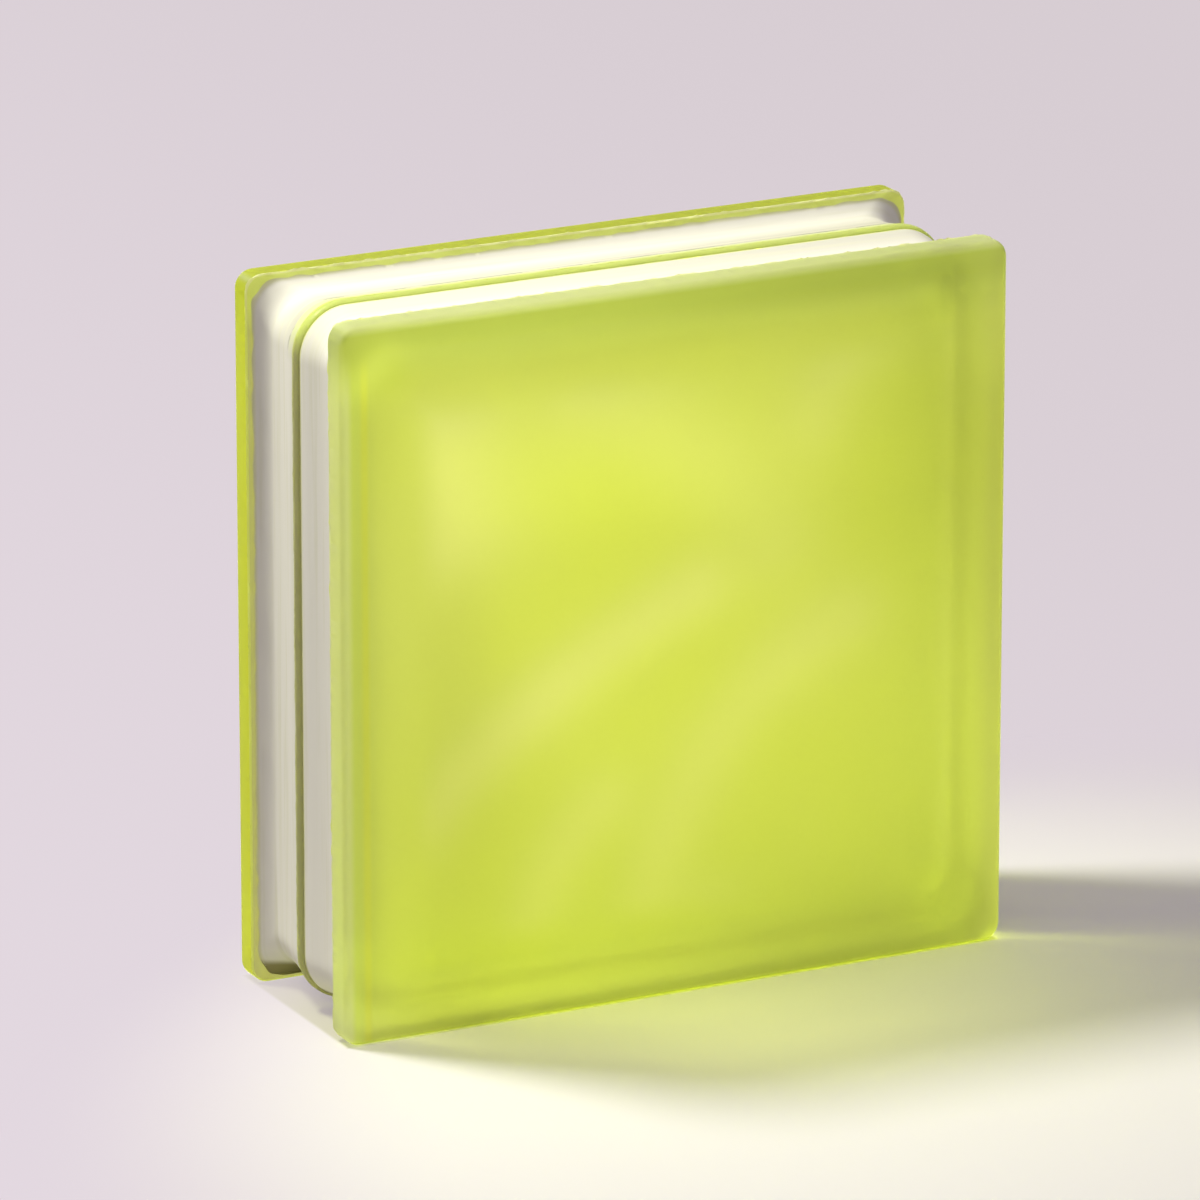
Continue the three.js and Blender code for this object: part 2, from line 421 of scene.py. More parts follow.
def make_half_shell(name, seed):
    """The front pressed tray: floor, pocket, joint, half bead, groove, clear step, lip, face."""
    pocket = pocket_sections()
    bead = bead_sections()
    groove = [groove_section(*point) for point in groove_curve()]
    flash = flash_sections()
    sections = pocket + bead + groove + flash + round_sections()
    bead_foot = len(pocket + bead) + 1
    step_foot = len(pocket + bead + groove)
    flash_crest = step_foot + 2

    piece = start_piece(name)
    add_ring(piece, 1, *sections[0])
    fill_ring(piece, 1)
    cut_face(piece, sections[0][1], sections[0][2])
    press_waves(piece)
    for number, section in enumerate(sections[1:-1], 2):
        add_ring(piece, number, *section)
        bridge(piece, number - 1, number)
    add_outer_face(piece, len(sections), sections[-1])
    bridge(piece, len(sections) - 1, len(sections))

    def raise_flash(point):
        rise = TEETH_WEIGHT * abs(ragged(point, FLASH_TEETH, seed))
        rise += max(ragged(point, FLASH_TUFTS, seed), 0)
        rise = min(rise, 1) * (1 if point.z > HIGH.z - FLASH_TOP else FLASH_WORN)
        wander = KINKS_WEIGHT * ragged(point, FLASH_KINKS, seed + 1)
        wander += ragged(point, FLASH_BENDS, seed + 2)
        return outward(point) * FLASH_RISE * rise + Vector((0, FLASH_WANDER * wander, 0))

    def unsettle_bead(point):
        unrest = ragged(point, BEAD_SWELLS, seed)
        unrest += GRAINS_WEIGHT * ragged(point, BEAD_GRAINS, seed)
        return outward(point) * BEAD_UNREST * unrest

    move_points(piece, [flash_crest], raise_flash)
    move_points(piece, range(len(pocket) + 1, bead_foot + 1), unsettle_bead)
    mesh = bmesh.from_edit_mesh(piece.data)
    ring = mesh.verts.layers.int["ring"]
    for face in mesh.faces:
        rings = [vert[ring] for vert in face.verts]
        if min(rings) >= flash_crest + 1:
            face.material_index = 0  # acid-etched
        elif min(rings) >= flash_crest - 1:
            face.material_index = 3  # flash
        elif min(rings) >= step_foot:
            face.material_index = 4  # wall of the clear step
        elif min(rings) >= bead_foot:
            face.material_index = 2  # under the coat
        elif min(rings) >= len(pocket):
            face.material_index = 4  # joint and bead
        else:
            face.material_index = 1  # clear inside
    close_piece(piece)
    keep_wave_pattern(piece)
    return piece


def make_groove_coat(name, seed):
    """The white coat from the wall of the clear step to the foot of the bead."""
    curve = groove_curve()
    skin = [groove_section(y, drop - COAT_THICKNESS) for y, drop in curve]
    skin.append(step_section(COAT_CLIMB, COAT_THICKNESS))
    underside = [step_section(COAT_CLIMB, -COAT_KEY)]
    underside += [groove_section(y + HAIR, drop + COAT_KEY) for y, drop in reversed(curve)]
    sections = skin + underside
    piece = start_piece(name)
    add_ring(piece, 1, *sections[0])
    for number, section in enumerate(sections[1:], 2):
        add_ring(piece, number, *section)
        bridge(piece, number - 1, number)
    bridge(piece, len(sections), 1)
    shoulder_rings = (len(skin), len(skin) + 1)
    bead_rings = (1, len(sections))

    def fray(point):
        return Vector((0, COAT_RAGGED * ragged(point, FRAY_AT_BEAD, seed), 0))

    def fray_up_step(point):
        along_wall = outward(point) * (SHOULDER_DROP - LIP_CHAMFER) / SHOULDER_RUN
        along_wall -= Vector((0, 1, 0))
        return along_wall * COAT_RAGGED * ragged(point, FRAY_AT_STEP, seed)

    move_points(piece, bead_rings, fray)
    move_points(piece, shoulder_rings, fray_up_step)
    mesh = bmesh.from_edit_mesh(piece.data)
    ring = mesh.verts.layers.int["ring"]
    for face in mesh.faces:
        if min(vert[ring] for vert in face.verts) > len(skin):
            face.material_index = 1  # against the glass
    return close_piece(piece)


def turned_copy(piece, name):
    """The same pressing for the back of the block, turned half round about its upright axis."""
    twin = piece.copy()
    twin.data = piece.data.copy()
    twin.name = twin.data.name = name
    turn = Matrix.Rotation(math.pi, 4, "Z")
    middle = Matrix.Translation(MIDDLE)
    twin.data.transform(middle @ turn @ middle.inverted())
    bpy.context.scene.collection.objects.link(twin)
    return twin


front_shell = make_half_shell("front_shell", 3)
back_shell = turned_copy(front_shell, "back_shell")
front_coat = make_groove_coat("front_groove_coat", 5)
back_coat = turned_copy(front_coat, "back_groove_coat")


# ---------------------------------------------------------------- materials

LIME_DEEP = (0.86, 0.94, 0.19, 1)  # glass between the crests of the waves, where no painted caustic light falls
LIME_CAUSTIC_LIT = (1.0, 1.0, 0.70, 1)  # painted caustic light: paler glass over the waves' crests, where they would focus the lamp
BROW_SHADE_OLIVE = (0.53, 0.60, 0.11, 1)  # painted shade across the top of the face
PAINTED_BORDER_LIME = (0.96, 1.0, 0.14, 1)  # painted light: a lime line on the face over the foot of the side walls, left and top only
PAINTED_BORDER_OLIVE = (0.86, 0.96, 0.24, 1)  # painted light and shade: a greyer band on the face over the side walls, left and top only
PAINTED_EDGE_REFLECTION = (0.95, 1.0, 0.70, 1)  # painted reflection on the rounding from the face into the lip, left and top only
FOOT_SHADE_LIME = (0.74, 0.82, 0.14, 1)  # painted shade on the rounding that the face stands on
LIP_BACK_SHADE = (0.84, 0.90, 0.10, 1)  # painted shade on the back lip, the same glass as the front one
BLOOM_FACE = (0.72, 0.76, 0.60, 1)  # the etched skin, which scatters light evenly
BLOOM_LIP_HIGHLIGHT = (0.98, 1.0, 0.92, 1)  # painted highlight on the front lip, paler and whiter
BLOOM_BACK_SHADE = (0.30, 0.33, 0.06, 1)  # painted shade in the bloom of the back lip
LIME_CLEAR = (0.95, 0.99, 0.38, 1)  # the glass itself
LIME_RAW = (0.84, 0.90, 0.32, 1)  # the unground rim
BEAD_LIME = (0.86, 0.94, 0.36, 1)  # the bead on top
BEAD_GREY = (0.55, 0.53, 0.36, 1)  # and down the sides
FLASH_GLINT = (0.97, 0.98, 0.66, 1)  # painted glint on the flash on top
SATIN_SHADE = (0.52, 0.56, 0.22, 1)  # what a lamp's light keeps through an etched surface
LEAVING_LEFT = (0.68, 0.73, 0.20, 1)  # the same where it leaves by the front face
LEAVING_RIGHT = (0.19, 0.20, 0.10, 1)
LEAVING_EDGE = (0.32, 0.36, 0.02, 1)  # close to that face's left edge
RIM_SHADE = (0.12, 0.13, 0.06, 1)  # the same for the flash, the clear step and the bead
CLEAR_SHADE = (0.98, 0.99, 0.75, 1)  # and for the rest of the glass
COAT_WHITE = (0.95, 0.935, 0.86, 1)  # the paint's own colour, kept full at the step and on the sides
COAT_PAINTED_SHADE = (0.60, 0.59, 0.48, 1)  # painted shade on top, towards the bead and more at the rear
COAT_PALE_LIT = (0.72, 0.78, 0.38, 1)  # thin paint and a painted highlight along the rear of the bead, on top
COAT_WORN = (0.84, 0.83, 0.68, 1)  # in the brush marks
COAT_LIME = (0.72, 0.74, 0.25, 1)  # where the coat thins out and the glass shows
COAT_GAP_SHADE = (0.30, 0.31, 0.22, 1)  # worn gaps at the bead, painted dark with the shade in them
COAT_UNDER = (0.90, 0.92, 0.70, 1)  # the same paint from inside, wetted onto the glass
COAT_UNDER_SHADE = (0.42, 0.44, 0.30, 1)  # painted shade on it towards the bottom right
COAT_SHADE_BELOW = (0.34, 0.31, 0.14, 1)  # painted shade on the paint low down under the block
COAT_SHADE = (0.30, 0.30, 0.30, 1)  # what a lamp's light keeps at each side of the paint
COAT_SHADE_LEFT = (0.68, 0.68, 0.68, 1)
COAT_SHADE_TOP_LEFT = (0.91, 0.91, 0.91, 1)  # on top at the left, letting more lamp light through to brighten the face's upper left and the floor in front
COAT_SHADE_SLOPE = (0.58, 0.58, 0.58, 1)  # on top, on the slope up to the front step
FLOOR_NEAR = (0.95, 0.93, 0.96, 1)  # paper under the lamp
FLOOR_SHADE_UNDER = (0.62, 0.63, 0.38, 1)  # painted shade where the block stands and hardly any light creeps in
FLOOR_BOUNCE = (0.48, 0.46, 0.46, 1)  # the same paper for light that is scattered on
BACKDROP_LEFT = (0.77, 0.69, 0.75, 1)
BACKDROP_RIGHT = (0.68, 0.61, 0.65, 1)
SKY_LOW = (0.27, 0.245, 0.265, 1)  # what lights the block from the sides
SKY_HIGH = (0.41, 0.375, 0.405, 1)  # and from overhead
CEILING = (1.0, 0.97, 0.97, 1)  # what glass and mirrors see overhead

# Glass. A pair of places is where something begins and where it is full.
IOR = 1.52
TINT_DRIFT = 0.25  # share of the tint's play that follows no wave
DRIFT_NOISE = (9, 9, 9)  # so many to a metre, as for each noise below
DRIFT_RANGE = (0.3, 0.7)
PAINTED_FACE_BORDERS = (  # in from the face's left and top edges, the sides that get this painted light and shade
    (PAINTED_BORDER_LIME, 10.5 * MM, 8.5 * MM),
    (PAINTED_BORDER_OLIVE, 8.0 * MM, 6.0 * MM),
    (PAINTED_EDGE_REFLECTION, 4.5 * MM, 2.0 * MM),
)
BROW = (26 * MM, 6 * MM)  # painted shade under the top
BROW_CLEAR = (0.0, 3.5 * MM)  # the painted shade leaves the very top alone
FOOT = (1.7 * MM, 0.9 * MM)  # over the floor, for the painted shade at the foot
LIP_LIGHT_BAND = (2.0 * MM, 0.5 * MM)  # in from the outline, the band of the lips' painted highlight and shade
SATIN_GLOW = 0.52  # share of the light that the etched glass scatters through itself
SATIN_BLOOM = 0.16  # share that its skin scatters back
SATIN_ROUGHNESS = 0.52
SATIN_CLOUDS = 0.08  # how much rougher it is in patches
CLOUDS_NOISE = (25, 25, 25)
CLOUDS_RANGE = (0.25, 0.75)
PITS_NOISE = (1400, 1400, 1400)
SATIN_PITS = 0.05 * MM  # depth of the etching
LEAVING_ACROSS = (-90 * MM, 70 * MM)  # across the front face
LEAVING_AT_EDGE = (LOW.x + 24 * MM, LOW.x + 16 * MM)
CLEAR_ROUGHNESS = 0.5
CORNER_ROUGHNESS = 0.5  # added in the pocket's corners
CORNER_REACH = (POCKET_HALF - 20 * MM, POCKET_HALF - 12 * MM)  # from the middle of the face
RAW_ROUGHNESS = 0.3
RAW_PITS = 0.2 * MM
RAW_GLOW = 0.4  # share of its haze that is light from within

# Paint
COAT_ROUGHNESS = 0.8
COAT_BRUSHED = 0.1 * MM  # depth of the brush marks
COAT_ON_TOP = (HIGH.z - 24 * MM, HIGH.z - 7 * MM)
SHADE_AT_REAR = (29 * MM, 8 * MM)  # from the joint, on top, for the painted shade at the rear
SHADE_IN_FRONT = (18 * MM, 3 * MM)
SHADE_IN_FRONT_SHARE = 0.55
STREAKS_NOISE = (14, 420, 14)
STREAKS_DETAIL = 4.0
STREAKS_RANGE = (0.45, 0.75)
STREAKS_SHARE = 0.7
THIN_AT_BEAD = (BEAD_WIDTH / 2 + 1.2 * MM, BEAD_WIDTH / 2)
THIN_AT_STEP = (-STEP_FOOT_Y - 0.8 * MM, -STEP_FOOT_Y + 0.6 * MM)
THIN_SHARE = 0.75
PALE_LIT_AT_REAR = (BEAD_WIDTH / 2 + 5 * MM, BEAD_WIDTH / 2 + 4 * MM)
GAPS_REACH = (0.9 * MM, 0.3 * MM)  # from the middle line of the worn gaps
SWAY_NOISE = (60, 60, 60)
DASHES_NOISE = (170, 300, 170)
DASHES_RANGE = (0.46, 0.56)
SHADE_BELOW_REACH = (9 * MM, 6 * MM)  # over the floor, for the painted shade
SHADE_TOP_LEFT_ACROSS = (115 * MM, -40 * MM)  # across the block, from its right
SHADE_AT_LEFT = (LOW.x + 18 * MM, LOW.x + 8 * MM)
SHADE_ON_SLOPE = (-19 * MM, -24 * MM)  # from the joint
UNDER_SHADE_HEIGHT = (40 * MM, 8 * MM)  # over the floor, for the painted shade
UNDER_SHADE_ACROSS = (-90 * MM, 90 * MM)


def new_material(name):
    material = bpy.data.materials.new(name)
    material.use_nodes = True
    material.node_tree.nodes.clear()
    return material


def add_node(tree, kind, **values):
    """A node of this kind, with its input sockets set by name."""
    node = tree.nodes.new(kind)
    for key, value in values.items():
        node.inputs[key.replace("_", " ")].default_value = value
    return node


def add_math(tree, operation, first, second):
    """A sum node; each operand is a number or an output socket."""
    node = tree.nodes.new("ShaderNodeMath")
    node.operation = operation
    for place, operand in enumerate((first, second)):
        if isinstance(operand, (int, float)):
            node.inputs[place].default_value = operand
        else:
            tree.links.new(operand, node.inputs[place])
    return node.outputs[0]


def add_range(tree, value, low, high):
    """The value's smooth share of the way from low to high."""
    node = add_node(tree, "ShaderNodeMapRange", From_Min=low, From_Max=high)
    node.interpolation_type = "SMOOTHSTEP"
    tree.links.new(value, node.inputs["Value"])
    return node.outputs[0]


def mix_colours(tree, share, first, second):
    """A colour mix; each colour is four numbers or an output socket."""
    node = tree.nodes.new("ShaderNodeMix")
    node.data_type = "RGBA"
    tree.links.new(share, node.inputs[0])
    for place, colour in ((6, first), (7, second)):
        if isinstance(colour, tuple):
            node.inputs[place].default_value = colour
        else:
            tree.links.new(colour, node.inputs[place])
    return node.outputs[2]


def mix_shaders(tree, share, first, second):
    """A shader mix; the share is a number or an output socket."""
    node = tree.nodes.new("ShaderNodeMixShader")
    if isinstance(share, (int, float)):
        node.inputs[0].default_value = share
    else:
        tree.links.new(share, node.inputs[0])
    tree.links.new(first.outputs[0], node.inputs[1])
    tree.links.new(second.outputs[0], node.inputs[2])
    return node


def new_group(name, outputs):
    """A node group with these outputs, and its Group Output node."""
    group = bpy.data.node_groups.new(name, "ShaderNodeTree")
    for label, kind in outputs:
        group.interface.new_socket(name=label, in_out="OUTPUT", socket_type=kind)
    return group, group.nodes.new("NodeGroupOutput")


def add_noise(tree, stretch, detail=2.0):
    """Smooth random values from 0 to 1, this many per metre along each axis."""
    place = tree.nodes.new("ShaderNodeTexCoord")
    scaled = tree.nodes.new("ShaderNodeVectorMath")
    scaled.operation = "MULTIPLY"
    scaled.inputs[1].default_value = stretch
    tree.links.new(place.outputs["Object"], scaled.inputs[0])
    noise_node = add_node(tree, "ShaderNodeTexNoise", Scale=1.0, Detail=detail)
    tree.links.new(scaled.outputs[0], noise_node.inputs["Vector"])
    return noise_node.outputs["Fac"]


def add_place(tree):
    """A point's x, y and z sockets."""
    place = tree.nodes.new("ShaderNodeTexCoord")
    split = tree.nodes.new("ShaderNodeSeparateXYZ")
    tree.links.new(place.outputs["Object"], split.inputs[0])
    return split.outputs["X"], split.outputs["Y"], split.outputs["Z"]


def add_from_middle(tree, x, z):
    """How far a point lies from the block's axis along the depth, sideways and upright."""
    sideways = add_math(tree, "ABSOLUTE", x, 0.0)
    upright = add_math(tree, "ABSOLUTE", add_math(tree, "SUBTRACT", z, MIDDLE.z), 0.0)
    return sideways, upright


def in_from_edge(tree, x, z):
    """How far in a point lies from the block's outline."""
    farthest = add_math(tree, "MAXIMUM", *add_from_middle(tree, x, z))
    return add_math(tree, "SUBTRACT", HALF_SIDE, farthest)


def add_on_top(tree, z):
    """1 on top of the block, 0 on its sides and below."""
    return add_range(tree, z, HIGH.z - 20 * MM, HIGH.z - 10 * MM)


def add_scaled(tree, value, factor, start):
    """The value times a factor, plus a start."""
    scaled = add_math(tree, "MULTIPLY_ADD", value, factor)
    scaled.node.inputs[2].default_value = start
    return scaled


def make_glass_tint():
    """Tint of the etched glass, and of the bloom on it, with painted light and shade: paler over a
    wave as painted caustic light, painted bands along the left and top edges, painted shade under
    the top, at the foot and on the back lip, and a painted highlight on the front lip.
    """
    group, output = new_group(
        "glass_tint", [("Tint", "NodeSocketColor"), ("Bloom", "NodeSocketColor")]
    )
    wave = group.nodes.new("ShaderNodeAttribute")
    wave.attribute_name = "wave"
    drift = add_range(group, add_noise(group, DRIFT_NOISE), *DRIFT_RANGE)
    share = add_math(group, "MULTIPLY_ADD", wave.outputs["Fac"], 1 - TINT_DRIFT)
    group.links.new(add_math(group, "MULTIPLY", drift, TINT_DRIFT), share.node.inputs[2])
    # Painted caustic light: paler where the waves would focus the lamp, with some random drift.
    tint = mix_colours(group, share, LIME_DEEP, LIME_CAUSTIC_LIT)
    x, y, z = add_place(group)
    from_left = add_math(group, "SUBTRACT", x, LOW.x)
    from_top = add_math(group, "SUBTRACT", HIGH.z, z)
    shaded = add_math(group, "MINIMUM", from_left, from_top)
    # Painted light and shade in bands along the face's left and top edges only.
    for colour, inner, outer in PAINTED_FACE_BORDERS:
        tint = mix_colours(group, add_range(group, shaded, inner, outer), tint, colour)
    # Painted shade: darker olive under the top of the face.
    brow_shade = add_range(group, from_top, *BROW)
    brow_shade = add_math(group, "MULTIPLY", brow_shade, add_range(group, from_top, *BROW_CLEAR))
    tint = mix_colours(group, brow_shade, tint, BROW_SHADE_OLIVE)
    # Painted shade: darker lime on the bottom rounding, which also loses the front lip's painted
    # highlight.
    foot = add_range(group, z, *FOOT)
    tint = mix_colours(group, foot, tint, FOOT_SHADE_LIME)
    inset = in_from_edge(group, x, z)
    # The lips: a painted highlight on the front one, painted shade on the back one.
    lip = add_range(group, inset, *LIP_LIGHT_BAND)
    behind = add_math(group, "GREATER_THAN", y, 0.0)
    back_lip_shade = add_math(group, "MULTIPLY", lip, behind)
    group.links.new(mix_colours(group, back_lip_shade, tint, LIP_BACK_SHADE), output.inputs[0])
    bloom = mix_colours(group, lip, BLOOM_FACE, BLOOM_LIP_HIGHLIGHT)
    bloom = mix_colours(group, foot, bloom, BLOOM_FACE)
    group.links.new(mix_colours(group, back_lip_shade, bloom, BLOOM_BACK_SHADE), output.inputs[1])
    return group


def make_etch_grain():
    """The fine pitting that acid leaves."""
    group, output = new_group(
        "etch_grain", [("Height", "NodeSocketFloat"), ("Roughness", "NodeSocketFloat")]
    )
    group.links.new(add_noise(group, PITS_NOISE), output.inputs[0])
    cloud = add_range(group, add_noise(group, CLOUDS_NOISE), *CLOUDS_RANGE)
    rough = add_scaled(group, cloud, SATIN_CLOUDS, SATIN_ROUGHNESS)
    group.links.new(rough, output.inputs[1])
    return group


def make_coat_colour():
    """Brushed paint: streaks along the groove and thin edges, with painted shade on top towards
    the bead, a pale strip of thin paint and painted light along the rear of the bead, worn gaps
    painted dark as shade, and painted shade under the block.
    """
    group, output = new_group(
        "coat_colour", [("Colour", "NodeSocketColor"), ("Height", "NodeSocketFloat")]
    )
    _, depth, z = add_place(group)
    on_top = add_range(group, z, *COAT_ON_TOP)
    behind = add_math(group, "GREATER_THAN", depth, 0.0)
    top_rear = add_math(group, "MULTIPLY", on_top, behind)
    away = add_math(group, "ABSOLUTE", depth, 0.0)
    rear_shade = add_math(group, "MULTIPLY", add_range(group, depth, *SHADE_AT_REAR), behind)
    front_shade = add_range(group, away, *SHADE_IN_FRONT)
    front_shade = add_math(group, "MULTIPLY", front_shade, SHADE_IN_FRONT_SHARE)
    # Painted shade: the paint darker on top towards the bead, more so at the rear.
    low = add_math(group, "MAXIMUM", rear_shade, front_shade)
    low = add_math(group, "MULTIPLY", low, on_top)
    body = mix_colours(group, low, COAT_WHITE, COAT_PAINTED_SHADE)
    streaks = add_noise(group, STREAKS_NOISE, STREAKS_DETAIL)
    brushed = add_range(group, streaks, *STREAKS_RANGE)
    brushed = add_math(group, "MULTIPLY", brushed, STREAKS_SHARE)
    body = mix_colours(group, brushed, body, COAT_WORN)
    at_bead = add_range(group, away, *THIN_AT_BEAD)
    at_step = add_range(group, away, *THIN_AT_STEP)
    thin = add_math(group, "MAXIMUM", at_bead, at_step)
    body = mix_colours(group, add_math(group, "MULTIPLY", thin, THIN_SHARE), body, COAT_LIME)
    # Thin paint and painted light: a pale strip along the rear of the bead, on top only.
    rear = add_range(group, away, *PALE_LIT_AT_REAR)
    body = mix_colours(group, add_math(group, "MULTIPLY", rear, top_rear), body, COAT_PALE_LIT)
    sway = add_math(group, "MULTIPLY", add_noise(group, SWAY_NOISE), GAPS_SWAY)
    near = add_math(group, "SUBTRACT", add_math(group, "ADD", depth, sway), GAPS_Y)
    near = add_range(group, add_math(group, "ABSOLUTE", near, 0.0), *GAPS_REACH)
    dashes = add_range(group, add_noise(group, DASHES_NOISE), *DASHES_RANGE)
    gaps = add_math(group, "MULTIPLY", add_math(group, "MULTIPLY", near, dashes), on_top)
    # Worn gaps along the rear of the bead, painted dark as the shade in them.
    body = mix_colours(group, gaps, body, COAT_GAP_SHADE)
    # Painted shade: dark olive paint low down, in the groove under the block.
    below = add_range(group, z, *SHADE_BELOW_REACH)
    group.links.new(mix_colours(group, below, body, COAT_SHADE_BELOW), output.inputs[0])
    group.links.new(streaks, output.inputs[1])
    return group


def add_coat_shade(tree):
    """What the paint lets through: more of it on top at the left, less up the front slope."""
    x, y, z = add_place(tree)
    top = add_on_top(tree, z)
    # More lamp light let through on top at the left, placed to brighten the face's upper left and
    # the floor in front.
    thin = add_math(tree, "MULTIPLY", top, add_range(tree, x, *SHADE_TOP_LEFT_ACROSS))
    shade = mix_colours(tree, thin, COAT_SHADE, COAT_SHADE_TOP_LEFT)
    at_left = add_range(tree, x, *SHADE_AT_LEFT)
    shade = mix_colours(tree, at_left, shade, COAT_SHADE_LEFT)
    slope = add_math(tree, "MULTIPLY", top, add_range(tree, y, *SHADE_ON_SLOPE))
    return mix_colours(tree, slope, shade, COAT_SHADE_SLOPE)


def add_group(tree, group):
    node = tree.nodes.new("ShaderNodeGroup")
    node.node_tree = group
    return node


def add_bump(tree, height, distance, strength):
    bump = add_node(tree, "ShaderNodeBump", Distance=distance, Strength=strength)
    tree.links.new(height, bump.inputs["Height"])
    return bump.outputs[0]


def let_lamps_through(tree, surface, shade):
    """Lets part of a lamp's light pass straight through, and ends the material."""
    passing = tree.nodes.new("ShaderNodeBsdfTransparent")
    if isinstance(shade, tuple):
        passing.inputs["Color"].default_value = shade
    else:
        tree.links.new(shade, passing.inputs["Color"])
    path = tree.nodes.new("ShaderNodeLightPath")
    whole = mix_shaders(tree, path.outputs["Is Shadow Ray"], surface, passing)
    output = tree.nodes.new("ShaderNodeOutputMaterial")
    tree.links.new(whole.outputs[0], output.inputs[0])


glass_tint = make_glass_tint()
etch_grain = make_etch_grain()
coat_colour = make_coat_colour()


def make_satin_glass():
    """Acid-etched lime glass: clouded, with a faint white bloom."""
    material = new_material("satin_glass")
    tree = material.node_tree
    tint = add_group(tree, glass_tint)
    grain = add_group(tree, etch_grain)
    pitted = add_bump(tree, grain.outputs["Height"], SATIN_PITS, 0.5)
    glass = add_node(tree, "ShaderNodeBsdfPrincipled", IOR=IOR, Transmission_Weight=1.0)
    tree.links.new(tint.outputs[0], glass.inputs["Base Color"])
    tree.links.new(grain.outputs["Roughness"], glass.inputs["Roughness"])
    tree.links.new(pitted, glass.inputs["Normal"])
    glow = tree.nodes.new("ShaderNodeBsdfTranslucent")
    tree.links.new(tint.outputs[0], glow.inputs["Color"])
    bloom = tree.nodes.new("ShaderNodeBsdfDiffuse")
    tree.links.new(tint.outputs["Bloom"], bloom.inputs["Color"])
    hazy = mix_shaders(tree, SATIN_GLOW, glass, glow)
    x, y, _ = add_place(tree)
    across = add_range(tree, x, *LEAVING_ACROSS)
    leaving = mix_colours(tree, across, LEAVING_LEFT, LEAVING_RIGHT)
    at_edge = add_range(tree, x, *LEAVING_AT_EDGE)
    leaving = mix_colours(tree, at_edge, leaving, LEAVING_EDGE)
    in_front = add_math(tree, "LESS_THAN", y, FACE_Y + LIP_ROUND / 2)
    shade = mix_colours(tree, in_front, SATIN_SHADE, leaving)
    let_lamps_through(tree, mix_shaders(tree, SATIN_BLOOM, hazy, bloom), shade)
    return material


def make_clear_glass():
    """Fire-polished lime glass inside the block, duller in the pocket's corners."""
    material = new_material("clear_glass")
    tree = material.node_tree
    x, _, z = add_place(tree)
    nearest = add_math(tree, "MINIMUM", *add_from_middle(tree, x, z))
    corner = add_range(tree, nearest, *CORNER_REACH)
    rough = add_scaled(tree, corner, CORNER_ROUGHNESS, CLEAR_ROUGHNESS)
    glass = add_node(
        tree,
        "ShaderNodeBsdfPrincipled",
        Base_Color=LIME_CLEAR,
        IOR=IOR,
        Transmission_Weight=1.0,
    )
    tree.links.new(rough, glass.inputs["Roughness"])
    let_lamps_through(tree, glass, CLEAR_SHADE)
    return material


def make_raw_glass(name, top_colour, side_colour, haze, shade):
    """Glass as it comes from the mould and the fusing: chilled, grainy and hazy."""
    material = new_material(name)
    tree = material.node_tree
    grain = add_group(tree, etch_grain)
    pitted = add_bump(tree, grain.outputs["Height"], RAW_PITS, 0.6)
    glass = add_node(
        tree,
        "ShaderNodeBsdfPrincipled",
        Base_Color=LIME_CLEAR,
        Roughness=RAW_ROUGHNESS,
        IOR=IOR,
        Transmission_Weight=1.0,
    )
    tree.links.new(pitted, glass.inputs["Normal"])
    _, _, z = add_place(tree)
    # Lighter colour on top than on the sides: a painted glint for the flash; the bead is lighter
    # and more lime on top and greyer down the sides.
    colour = mix_colours(tree, add_on_top(tree, z), side_colour, top_colour)
    skin = tree.nodes.new("ShaderNodeBsdfDiffuse")
    glow = tree.nodes.new("ShaderNodeBsdfTranslucent")
    tree.links.new(colour, skin.inputs["Color"])
    tree.links.new(colour, glow.inputs["Color"])
    hazy = mix_shaders(tree, RAW_GLOW, skin, glow)
    let_lamps_through(tree, mix_shaders(tree, haze, glass, hazy), shade)
    return material


def make_coat_paint():
    """Matt white paint, thin enough to let some light into the block."""
    material = new_material("groove_coat")
    tree = material.node_tree
    colour = add_group(tree, coat_colour)
    paint = add_node(tree, "ShaderNodeBsdfPrincipled", Roughness=COAT_ROUGHNESS)
    tree.links.new(colour.outputs["Colour"], paint.inputs["Base Color"])
    brushed = add_bump(tree, colour.outputs["Height"], COAT_BRUSHED, 0.4)
    tree.links.new(brushed, paint.inputs["Normal"])
    let_lamps_through(tree, paint, add_coat_shade(tree))
    return material


def make_coat_underside():
    """The paint as the inside of the block sees it, with painted shade towards the bottom right.
    """
    material = new_material("groove_coat_underside")
    tree = material.node_tree
    x, _, z = add_place(tree)
    paint = tree.nodes.new("ShaderNodeBsdfDiffuse")
    low = add_range(tree, z, *UNDER_SHADE_HEIGHT)
    low = add_math(tree, "MULTIPLY", low, add_range(tree, x, *UNDER_SHADE_ACROSS))
    tree.links.new(mix_colours(tree, low, COAT_UNDER, COAT_UNDER_SHADE), paint.inputs["Color"])
    let_lamps_through(tree, paint, add_coat_shade(tree))
    return material


glasses = (
    make_satin_glass(),
    make_clear_glass(),
    make_raw_glass("raw_glass", LIME_RAW, LIME_RAW, 0.6, CLEAR_SHADE),
    make_raw_glass("flash_glass", FLASH_GLINT, LIME_RAW, 0.85, RIM_SHADE),
    make_raw_glass("bead_glass", BEAD_LIME, BEAD_GREY, 0.7, RIM_SHADE),
)
paints = (make_coat_paint(), make_coat_underside())
for shell in (front_shell, back_shell):
    for glass in glasses:
        shell.data.materials.append(glass)
for coat in (front_coat, back_coat):
    for paint in paints:
        coat.data.materials.append(paint)


# ---------------------------------------------------------------- floor, light and camera

